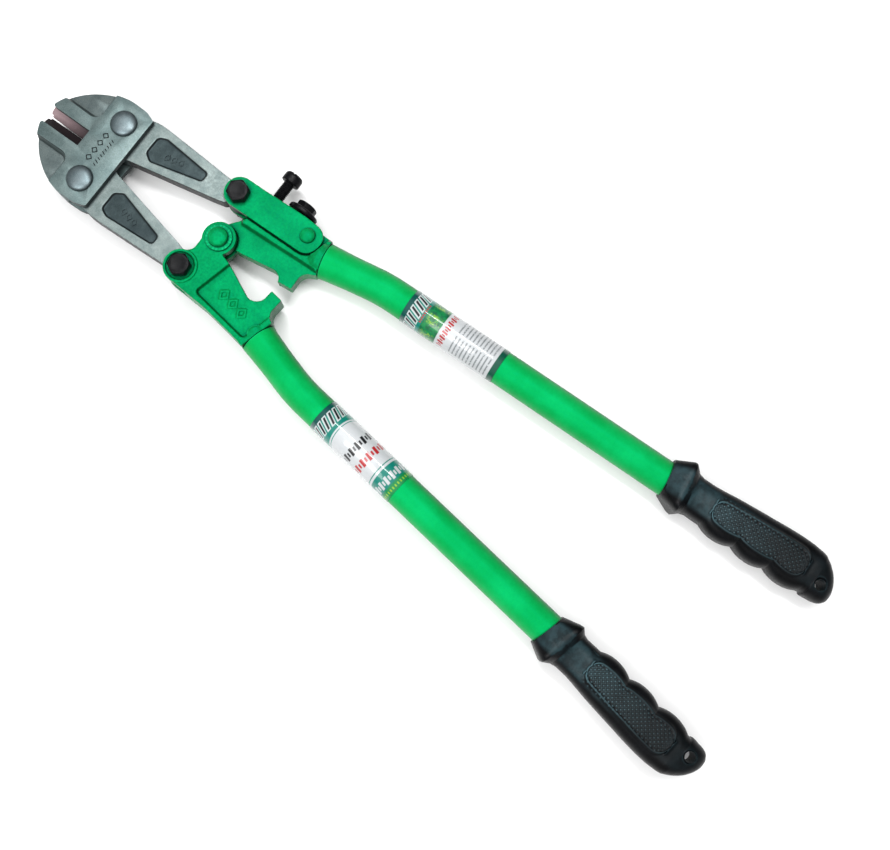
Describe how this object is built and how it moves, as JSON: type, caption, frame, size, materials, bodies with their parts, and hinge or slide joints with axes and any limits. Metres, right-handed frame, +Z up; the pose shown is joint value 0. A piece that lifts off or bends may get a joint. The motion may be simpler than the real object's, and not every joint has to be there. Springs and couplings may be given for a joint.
{
  "type": "bolt cutters",
  "caption": "Compound-leverage bolt cutters: short bevelled jaws between side plates, long tube handles with ribbed vinyl grips and an adjusting link on one side.",
  "frame": {"origin": "Middle of the tool's bounding box in X and Y, at the level of the surface it lies on.", "axes": "+Y runs along the tool to the jaw tips, +X to the side with the adjusting link, +Z up from the surface the tool lies on, towards its front face."},
  "size_m": [0.177, 0.6094, 0.037],
  "materials": {
    "plate_steel": "satin pressed steel with a fine grain and darker corner recesses",
    "rivet_steel": "smooth bright domed rivet heads",
    "jaw_steel": "forged steel with ground faces and darker pockets",
    "cast_enamel": "green enamel over a sand-cast skin, slightly grainy",
    "tube_enamel": "smooth semi-gloss green enamel on round tube",
    "grip_vinyl": "semi-matt black vinyl with a knurled panel",
    "label_film": "glossy printed film",
    "black_oxide": "black oxide steel, slightly oily"
  },
  "bodies": {
    "head": {"front_side_plate": "plate_steel", "rear_side_plate": "plate_steel", "left_jaw_rivet": "rivet_steel", "right_jaw_rivet": "rivet_steel"},
    "jaw_left": {"left_jaw": "jaw_steel"},
    "jaw_right": {"right_jaw": "jaw_steel"},
    "handle_left": {"left_casting": "cast_enamel", "left_tube": "tube_enamel", "left_label": "label_film", "left_grip": "grip_vinyl", "left_jaw_bolt": "black_oxide", "left_jaw_nut": "black_oxide", "centre_bolt": "cast_enamel", "centre_front_washer": "cast_enamel", "centre_rear_washer": "black_oxide", "centre_nut": "black_oxide"},
    "link": {"front_link_plate": "cast_enamel", "rear_link_plate": "cast_enamel", "link_rivet": "cast_enamel", "right_jaw_bolt": "black_oxide", "right_jaw_nut": "black_oxide", "adjuster_block": "black_oxide"},
    "handle_right": {"right_casting": "cast_enamel", "right_tube": "tube_enamel", "right_label": "label_film", "right_grip": "grip_vinyl"},
    "adjusting_screw": {"adjusting_screw": "black_oxide"},
    "lock_washer": {"lock_washer": "black_oxide"},
    "lock_screw": {"lock_screw": "black_oxide"}
  },
  "joints": [
    {"name": "left_jaw_pivot", "type": "hinge", "parent": "head", "child": "jaw_left", "pos_m": [-0.02746, 0.25401, 0.0185], "axis": [0, 0, 1], "range_deg": [-0.52, 6]},
    {"name": "right_jaw_pivot", "type": "hinge", "parent": "head", "child": "jaw_right", "pos_m": [0.02046, 0.25693, 0.0185], "axis": [0, 0, -1], "range_deg": [-0.52, 6]},
    {"name": "left_handle_pivot", "type": "hinge", "parent": "jaw_left", "child": "handle_left", "pos_m": [-0.0308, 0.16047, 0.0185], "axis": [0, 0, -1], "range_deg": [-3.6, 42]},
    {"name": "link_pivot", "type": "hinge", "parent": "jaw_right", "child": "link", "pos_m": [0.0327, 0.16407, 0.0185], "axis": [0, 0, 1], "range_deg": [-3.3, 38.5]},
    {"name": "right_handle_pivot", "type": "hinge", "parent": "link", "child": "handle_right", "pos_m": [0.039, 0.10877, 0.0185], "axis": [0, 0, 1], "range_deg": [-0.7, 0.7]},
    {"name": "adjusting_screw_turn", "type": "hinge", "parent": "handle_right", "child": "adjusting_screw", "pos_m": [0.0468, 0.14427, 0.0185], "axis": [0.9981, 0.061, 0], "range_deg": [-124, 124]},
    {"name": "lock_washer_travel", "type": "slide", "parent": "handle_right", "child": "lock_washer", "axis": [0.9981, 0.061, 0], "range_m": [0, 0.00125]},
    {"name": "lock_screw_turn", "type": "hinge", "parent": "lock_washer", "child": "lock_screw", "pos_m": [0.0486, 0.12427, 0.0185], "axis": [0.9981, 0.061, 0], "range_deg": [0, 361]}
  ],
  "couplings": [
    {"joint": "left_jaw_pivot", "follows": "left_handle_pivot", "ratio": 0.1416},
    {"joint": "right_jaw_pivot", "follows": "left_handle_pivot", "ratio": 0.1416},
    {"joint": "link_pivot", "follows": "left_handle_pivot", "ratio": 0.9142},
    {"joint": "adjusting_screw_turn", "follows": "right_handle_pivot", "ratio": -176.06},
    {"joint": "lock_screw_turn", "follows": "lock_washer_travel", "rad_per_m": 5026.6}
  ]
}
